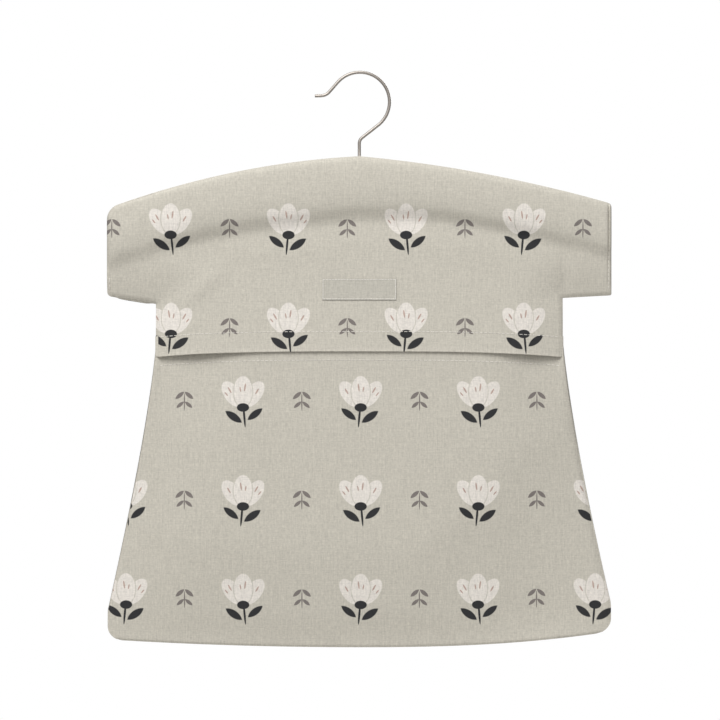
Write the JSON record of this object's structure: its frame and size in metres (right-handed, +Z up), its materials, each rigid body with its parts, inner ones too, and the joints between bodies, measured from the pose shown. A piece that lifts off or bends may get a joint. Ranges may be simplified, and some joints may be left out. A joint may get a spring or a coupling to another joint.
{
  "type": "peg bag",
  "caption": "Tunic-shaped cotton peg bag on a wooden hanger, with a swivelling wire hook and a lapped slit mouth across the front.",
  "frame": {"origin": "inside top of the hook's bend, where the line or rail bears, on the hook's swivel axis", "axes": "+Z up along the hook's stem, +X to the right as seen from the front, +Y to the back; the front faces -Y"},
  "size_m": [0.378, 0.019, 0.4317],
  "materials": {
    "print_fabric": "matt printed cotton canvas",
    "label_tape": "matt woven cotton",
    "thread": "white sewing thread",
    "beech": "clear satin lacquer",
    "steel": "zinc-plated wire"
  },
  "bodies": {
    "bag": {"hanger_bar": "beech", "hook_washer": "steel", "back_panel": "print_fabric", "front_yoke": "print_fabric", "pocket_panel": "print_fabric", "pocket_hem": "print_fabric", "pocket_hem_thread": "thread", "seam_thread": "thread"},
    "hook": {"hook": "steel"},
    "yoke_flap": {"yoke_flap": "print_fabric", "yoke_hem": "print_fabric", "yoke_hem_thread": "thread", "label": "label_tape", "label_thread": "thread"}
  },
  "joints": [
    {"name": "hook_swivel", "type": "hinge", "parent": "bag", "child": "hook", "pos_m": [0, 0, -0.07], "axis": [0, 0, 1], "continuous": true},
    {"name": "yoke_lift", "type": "hinge", "parent": "bag", "child": "yoke_flap", "pos_m": [0, -0.0063, -0.1281], "axis": [-1, 0, 0], "range_deg": [0, 40]}
  ]
}
